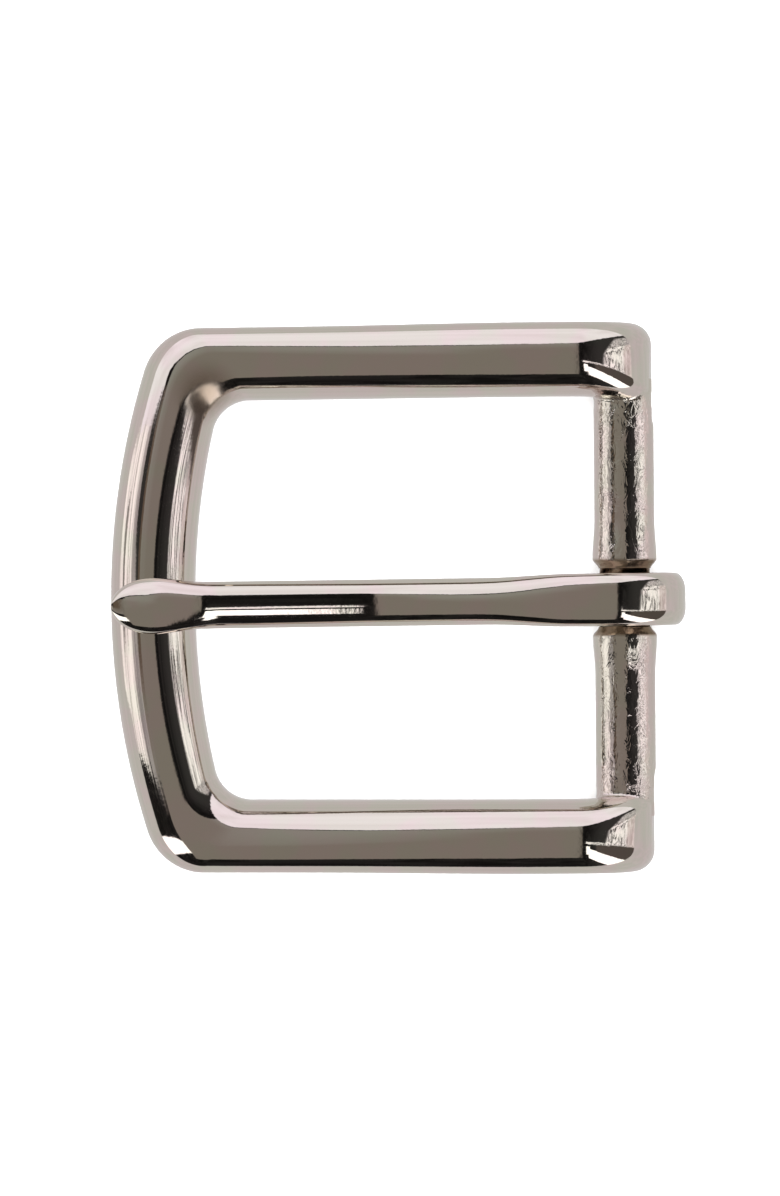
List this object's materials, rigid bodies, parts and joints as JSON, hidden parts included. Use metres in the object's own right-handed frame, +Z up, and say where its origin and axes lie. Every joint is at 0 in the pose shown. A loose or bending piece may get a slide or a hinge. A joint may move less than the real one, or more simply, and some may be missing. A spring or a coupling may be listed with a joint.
{
  "type": "belt buckle",
  "caption": "Heel-bar belt buckle: a bowed, rounded rectangular frame with arched rails and one hinged prong that rests across the bow.",
  "frame": {"origin": "on the surface the buckle lies on, under the middle of its outline, with the buckle on its back", "axes": "+X from the bow to the heel, +Y along the heel bar, +Z up, out of the buckle's face"},
  "size_m": [0.0576, 0.0548, 0.0109],
  "materials": {
    "frame_plating": "bright nickel plate over a zinc casting, polished on the face and left as cast on the bar",
    "prong_plating": "bright nickel plate, polished"
  },
  "bodies": {
    "frame": {"frame": "frame_plating"},
    "prong": {"prong": "prong_plating"}
  },
  "joints": [
    {"name": "prong_hinge", "type": "hinge", "parent": "frame", "child": "prong", "pos_m": [0.02265, 0, 0.0043], "axis": [0, 1, 0], "range_deg": [0, 175]}
  ]
}
